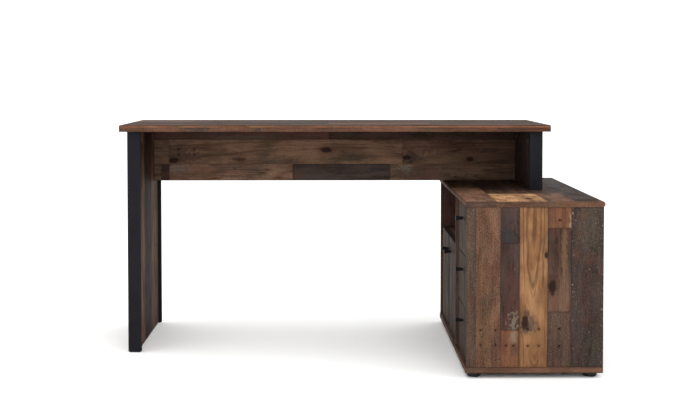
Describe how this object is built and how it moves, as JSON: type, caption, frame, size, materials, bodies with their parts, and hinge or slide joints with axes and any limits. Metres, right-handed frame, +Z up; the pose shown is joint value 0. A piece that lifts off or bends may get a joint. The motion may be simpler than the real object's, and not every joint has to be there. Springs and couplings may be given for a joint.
{
  "type": "corner desk",
  "caption": "Corner desk: a desktop on a tall side leg and a short leg that stands on a low cabinet with drawers, hinged doors and an open compartment facing the knee space.",
  "frame": {"origin": "middle of the footprint, on the floor", "axes": "+X to the right and along the desktop, +Y to the back, +Z up"},
  "size_m": [1.555, 1.092, 0.768],
  "materials": {
    "reclaimed_wood_laminate": "matt melamine laminate printed as patched old planks",
    "anthracite_laminate": "matt plain dark grey laminate",
    "black_plastic": "moulded, satin",
    "zinc_plated_steel": "zinc plated",
    "beech_dowel": "raw turned beech",
    "guide_plastic": "extruded plastic",
    "drawer_box_foil": "plain foil on chipboard",
    "hardboard": "painted hardboard"
  },
  "bodies": {
    "frame": {"cabinet_back": "reclaimed_wood_laminate", "cabinet_bottom": "reclaimed_wood_laminate", "cabinet_feet": "black_plastic", "cabinet_top": "reclaimed_wood_laminate", "carcass_cam_bolts": "zinc_plated_steel", "carcass_cams": "zinc_plated_steel", "carcass_dowels": "beech_dowel", "compartment_shelf": "reclaimed_wood_laminate", "desk_cam_bolts": "zinc_plated_steel", "desk_cams": "zinc_plated_steel", "desktop": "reclaimed_wood_laminate", "desktop_dowels": "beech_dowel", "divider": "reclaimed_wood_laminate", "drawer_guides": "guide_plastic", "far_end_panel": "reclaimed_wood_laminate", "foot_screws": "zinc_plated_steel", "guide_screws": "zinc_plated_steel", "hinge_arms": "zinc_plated_steel", "hinge_screws": "zinc_plated_steel", "left_front_strip": "anthracite_laminate", "left_rear_strip": "anthracite_laminate", "left_side_panel": "reclaimed_wood_laminate", "leg_glides": "black_plastic", "modesty_panel": "reclaimed_wood_laminate", "near_end_panel": "reclaimed_wood_laminate", "right_front_strip": "anthracite_laminate", "right_rear_strip": "anthracite_laminate", "right_side_panel": "reclaimed_wood_laminate", "short_leg_screws": "zinc_plated_steel", "strip_dowels": "beech_dowel"},
    "lower_drawer_box": {"lower_drawer_front": "reclaimed_wood_laminate", "lower_drawer_near_side": "drawer_box_foil", "lower_drawer_far_side": "drawer_box_foil", "lower_drawer_back": "drawer_box_foil", "lower_drawer_bottom": "hardboard", "lower_drawer_knob": "black_plastic", "lower_drawer_knob_screw": "zinc_plated_steel"},
    "middle_drawer_box": {"middle_drawer_front": "reclaimed_wood_laminate", "middle_drawer_near_side": "drawer_box_foil", "middle_drawer_far_side": "drawer_box_foil", "middle_drawer_back": "drawer_box_foil", "middle_drawer_bottom": "hardboard", "middle_drawer_knob": "black_plastic", "middle_drawer_knob_screw": "zinc_plated_steel"},
    "upper_drawer_box": {"upper_drawer_front": "reclaimed_wood_laminate", "upper_drawer_near_side": "drawer_box_foil", "upper_drawer_far_side": "drawer_box_foil", "upper_drawer_back": "drawer_box_foil", "upper_drawer_bottom": "hardboard", "upper_drawer_knob": "black_plastic", "upper_drawer_knob_screw": "zinc_plated_steel"},
    "near_door_leaf": {"near_door": "reclaimed_wood_laminate", "near_door_hinge_cups": "zinc_plated_steel", "near_door_knob": "black_plastic", "near_door_knob_screw": "zinc_plated_steel"},
    "far_door_leaf": {"far_door": "reclaimed_wood_laminate", "far_door_hinge_cups": "zinc_plated_steel", "far_door_knob": "black_plastic", "far_door_knob_screw": "zinc_plated_steel"}
  },
  "joints": [
    {"name": "lower_drawer_slide", "type": "slide", "parent": "frame", "child": "lower_drawer_box", "axis": [-1, 0, 0], "range_m": [0, 0.26]},
    {"name": "middle_drawer_slide", "type": "slide", "parent": "frame", "child": "middle_drawer_box", "axis": [-1, 0, 0], "range_m": [0, 0.26]},
    {"name": "upper_drawer_slide", "type": "slide", "parent": "frame", "child": "upper_drawer_box", "axis": [-1, 0, 0], "range_m": [0, 0.26]},
    {"name": "near_door_hinge", "type": "hinge", "parent": "frame", "child": "near_door_leaf", "pos_m": [0.3565, -0.134, 0.036], "axis": [0, 0, 1], "range_deg": [0, 90]},
    {"name": "far_door_hinge", "type": "hinge", "parent": "frame", "child": "far_door_leaf", "pos_m": [0.3565, 0.525, 0.036], "axis": [0, 0, -1], "range_deg": [0, 90]}
  ]
}
